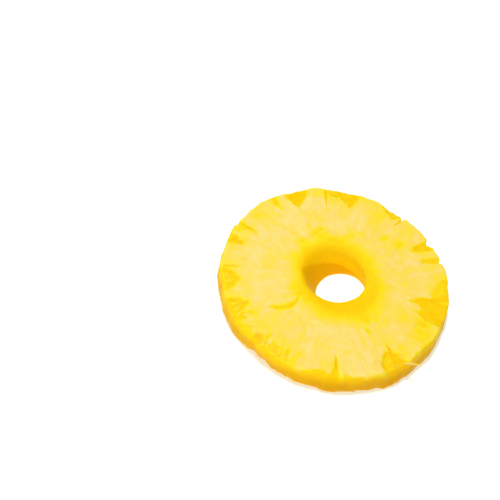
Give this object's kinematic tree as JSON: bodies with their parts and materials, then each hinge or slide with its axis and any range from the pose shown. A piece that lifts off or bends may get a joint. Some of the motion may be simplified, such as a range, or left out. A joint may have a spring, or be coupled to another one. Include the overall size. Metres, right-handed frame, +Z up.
{
  "type": "pineapple ring",
  "caption": "Round cross slice of peeled pineapple with a core hole, soft cut edges and small slits at the rim, lying flat.",
  "frame": {"origin": "on the surface that the slice lies on, under the middle of the slice's outline", "axes": "+Z up, out of the upper cut face, along the core hole; X and Y lie in the plane of the lower cut face, and the deepest notch in the rim stands about 47 degrees from +X towards +Y"},
  "size_m": [0.0911, 0.0905, 0.0104],
  "materials": {
    "pineapple_flesh": "moist cut fruit, satin"
  },
  "bodies": {
    "root": {"pineapple_ring": "pineapple_flesh"}
  },
  "joints": []
}
